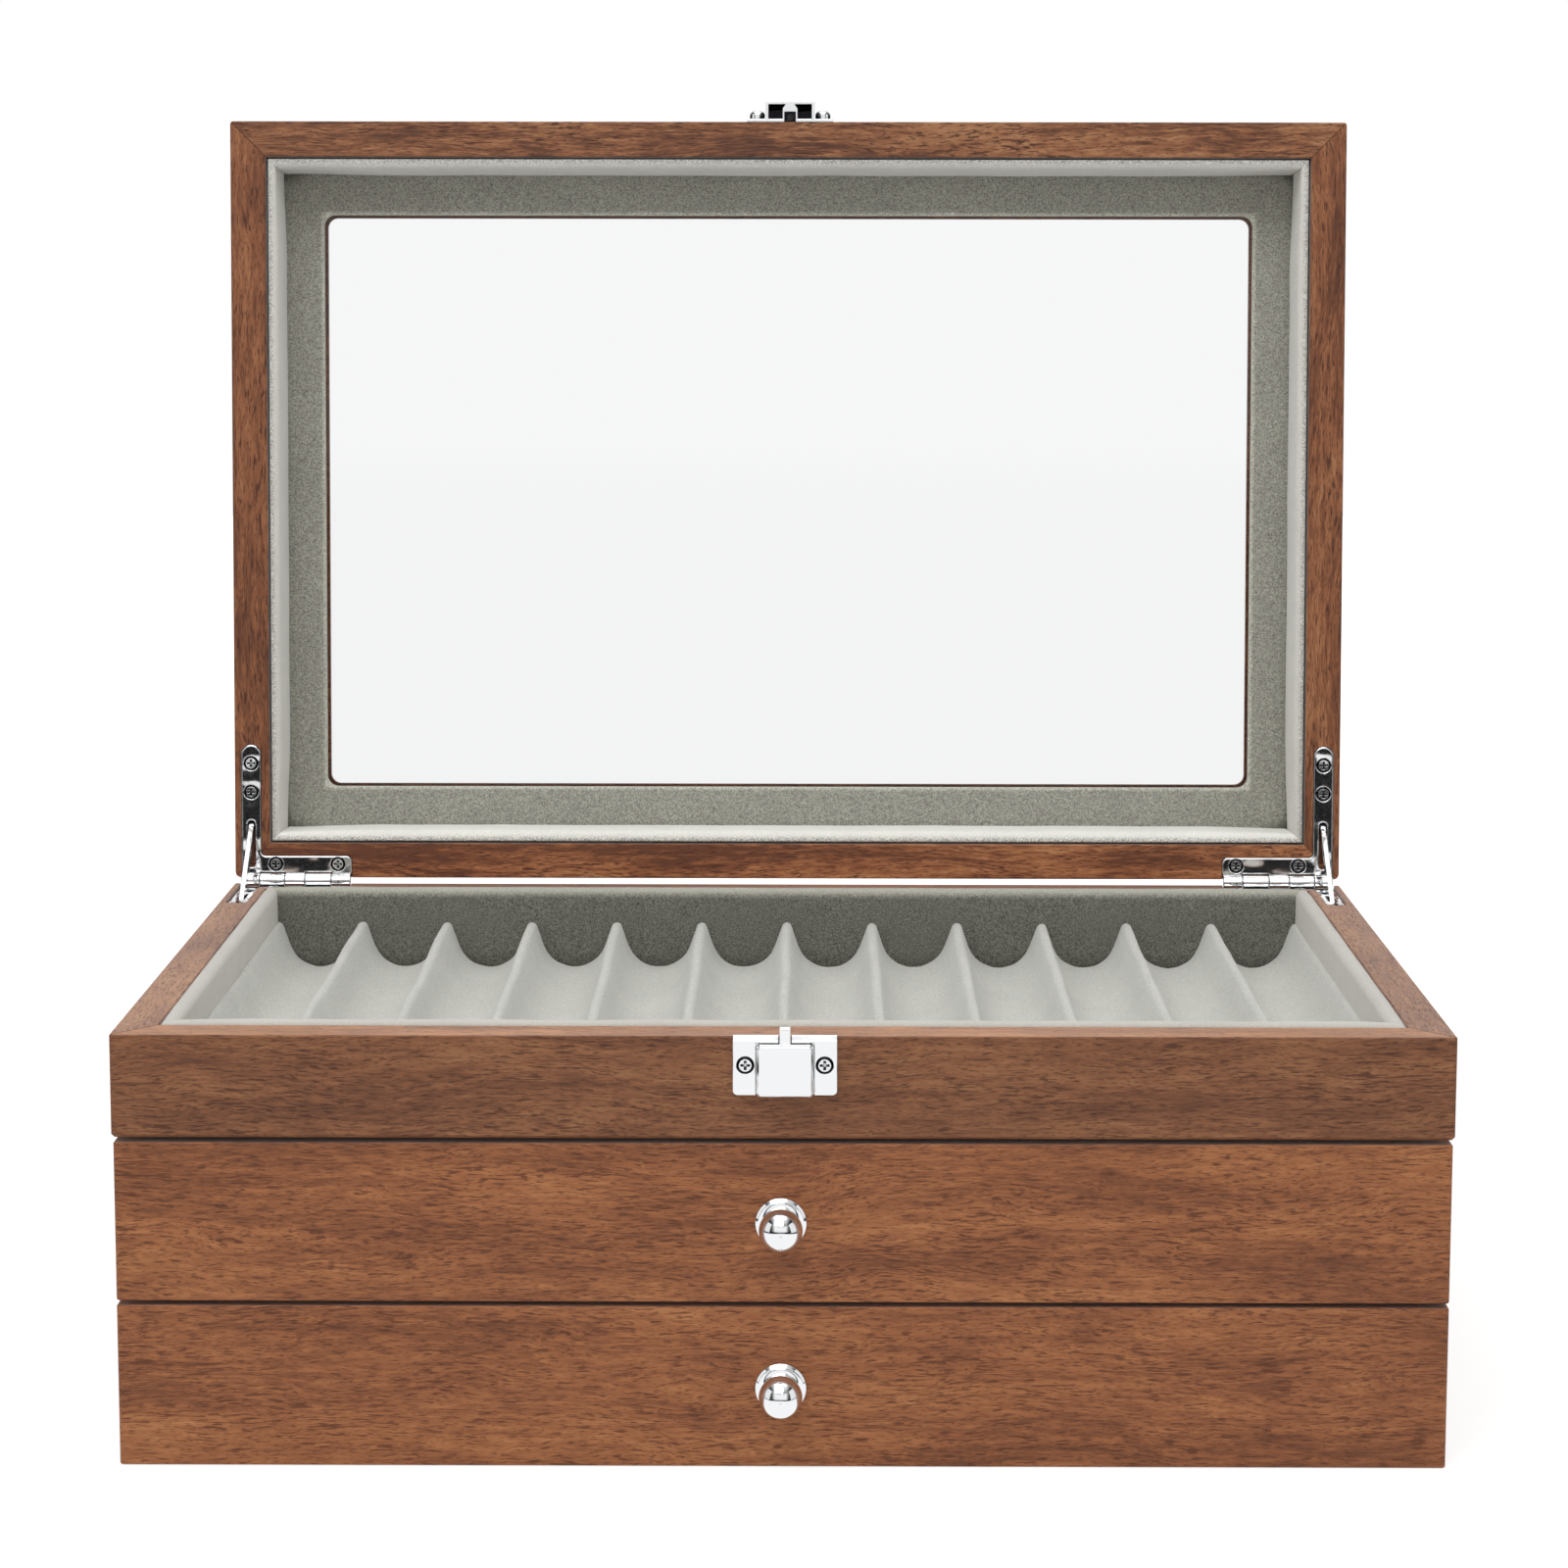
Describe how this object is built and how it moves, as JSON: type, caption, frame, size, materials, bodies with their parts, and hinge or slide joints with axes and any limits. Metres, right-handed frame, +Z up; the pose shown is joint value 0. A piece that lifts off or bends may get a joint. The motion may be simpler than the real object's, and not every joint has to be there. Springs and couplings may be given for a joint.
{
  "type": "pen collector chest",
  "caption": "Wooden pen chest with a glazed lid on stays, a padded pen tray under it, pen drawers below and a push-button latch.",
  "frame": {"origin": "middle of the underside of the base felt", "axes": "+X to the right, +Y to the back, +Z up, seen from the front with the drawers"},
  "size_m": [0.35, 0.306, 0.3608],
  "materials": {
    "walnut": "satin walnut veneer",
    "inner_wood": "matt",
    "velvet": "short-napped velvet",
    "liner_velvet": "short-napped velvet over board",
    "mat_velvet": "short-napped velvet over board",
    "base_felt": "felt",
    "chrome": "bright plated",
    "screw_steel": "bright",
    "clear_glass": "clear"
  },
  "bodies": {
    "case": {"side_panel_left": "walnut", "side_panel_right": "walnut", "back_panel": "walnut", "front_rail": "walnut", "bottom_panel": "inner_wood", "middle_shelf": "inner_wood", "tray_shelf": "inner_wood", "base_felt": "base_felt", "top_pen_tray": "velvet", "top_liner_front": "liner_velvet", "top_liner_back": "liner_velvet", "top_liner_left": "liner_velvet", "top_liner_right": "liner_velvet", "latch_plate": "chrome", "latch_screws": "screw_steel", "latch_spring": "screw_steel", "hinge_left_case_leaf": "chrome", "hinge_right_case_leaf": "chrome", "hinge_left_pin": "chrome", "hinge_right_pin": "chrome", "hinge_case_screws": "screw_steel"},
    "lid": {"lid_rail_front": "walnut", "lid_rail_back": "walnut", "lid_stile_left": "walnut", "lid_stile_right": "walnut", "lid_top_frame": "walnut", "lid_glass": "clear_glass", "lid_mat": "mat_velvet", "lid_bolster_front": "velvet", "lid_bolster_back": "velvet", "lid_bolster_left": "velvet", "lid_bolster_right": "velvet", "lid_keeper": "chrome", "keeper_screws": "screw_steel", "hinge_left_lid_leaf": "chrome", "hinge_right_lid_leaf": "chrome", "hinge_lid_screws": "screw_steel", "stay_rivet_left": "chrome", "stay_rivet_right": "chrome"},
    "drawer_upper": {"drawer_upper_front": "walnut", "drawer_upper_side_left": "inner_wood", "drawer_upper_side_right": "inner_wood", "drawer_upper_back": "inner_wood", "drawer_upper_bottom": "inner_wood", "drawer_upper_liner": "liner_velvet", "drawer_upper_pen_tray": "velvet", "drawer_upper_knob": "chrome", "drawer_upper_knob_screw": "screw_steel"},
    "drawer_lower": {"drawer_lower_front": "walnut", "drawer_lower_side_left": "inner_wood", "drawer_lower_side_right": "inner_wood", "drawer_lower_back": "inner_wood", "drawer_lower_bottom": "inner_wood", "drawer_lower_liner": "liner_velvet", "drawer_lower_pen_tray": "velvet", "drawer_lower_knob": "chrome", "drawer_lower_knob_screw": "screw_steel"},
    "latch_button": {"latch_button": "chrome"},
    "stay_link_left": {"stay_link_left": "chrome"},
    "stay_link_right": {"stay_link_right": "chrome"}
  },
  "joints": [
    {"name": "lid_hinge", "type": "hinge", "parent": "case", "child": "lid", "pos_m": [0, 0.1198, 0.1164], "axis": [1, 0, 0], "range_deg": [0, 94.3]},
    {"name": "stay_left_hinge", "type": "hinge", "parent": "lid", "child": "stay_link_left", "pos_m": [-0.1698, 0.1235, 0.13357], "axis": [1, 0, 0], "range_deg": [-41.5, 0]},
    {"name": "stay_right_hinge", "type": "hinge", "parent": "lid", "child": "stay_link_right", "pos_m": [0.1698, 0.1235, 0.13357], "axis": [1, 0, 0], "range_deg": [-41.5, 0]},
    {"name": "drawer_upper_slide", "type": "slide", "parent": "case", "child": "drawer_upper", "axis": [0, -1, 0], "range_m": [0, 0.15]},
    {"name": "drawer_lower_slide", "type": "slide", "parent": "case", "child": "drawer_lower", "axis": [0, -1, 0], "range_m": [0, 0.15]},
    {"name": "latch_press", "type": "slide", "parent": "case", "child": "latch_button", "axis": [0, 1, 0], "range_m": [0, 0.0012], "stiffness_N_per_m": 800, "springref_m": -0.0006, "deforming": ["latch_spring"]}
  ],
  "couplings": [
    {"joint": "stay_left_hinge", "follows": "lid_hinge", "ratio": -0.44},
    {"joint": "stay_right_hinge", "follows": "lid_hinge", "ratio": -0.44}
  ]
}
